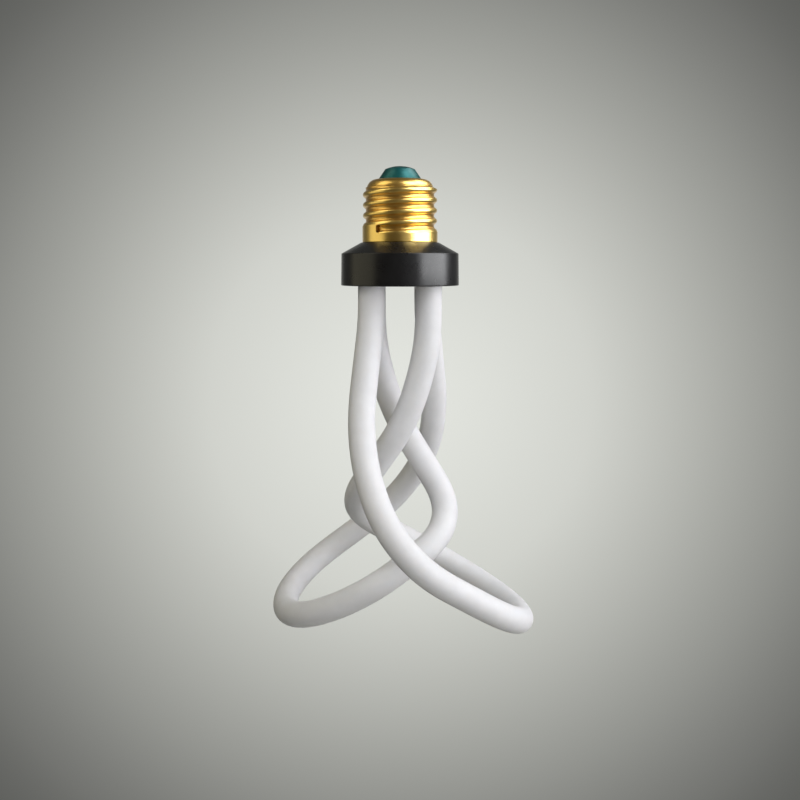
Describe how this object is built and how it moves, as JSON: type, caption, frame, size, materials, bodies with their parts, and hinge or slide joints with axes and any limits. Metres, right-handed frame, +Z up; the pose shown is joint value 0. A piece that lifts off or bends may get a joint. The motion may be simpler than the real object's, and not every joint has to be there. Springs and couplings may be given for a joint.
{
  "type": "led light bulb",
  "caption": "LED light bulb: interlaced bent opal tubes below a dark chamfered collar, with a brass screw cap and a teal glass insulator.",
  "frame": {"origin": "on the bulb's axis, on the collar's top face, at the foot of the screw cap", "axes": "+Z up along the axis through the cap, as the bulb hangs; +X to the right and +Y away in the picture"},
  "size_m": [0.097, 0.0948, 0.1671],
  "materials": {
    "brass": "bright rolled brass",
    "insulator_glass": "opaque teal glass",
    "contact_metal": "plain tinned metal",
    "collar_plastic": "satin black moulding",
    "opal_tube": "matte opal white"
  },
  "bodies": {
    "root": {"screw_shell": "brass", "cap_insulator": "insulator_glass", "centre_contact": "contact_metal", "collar": "collar_plastic", "tube_front": "opal_tube", "tube_rear": "opal_tube"}
  },
  "joints": []
}
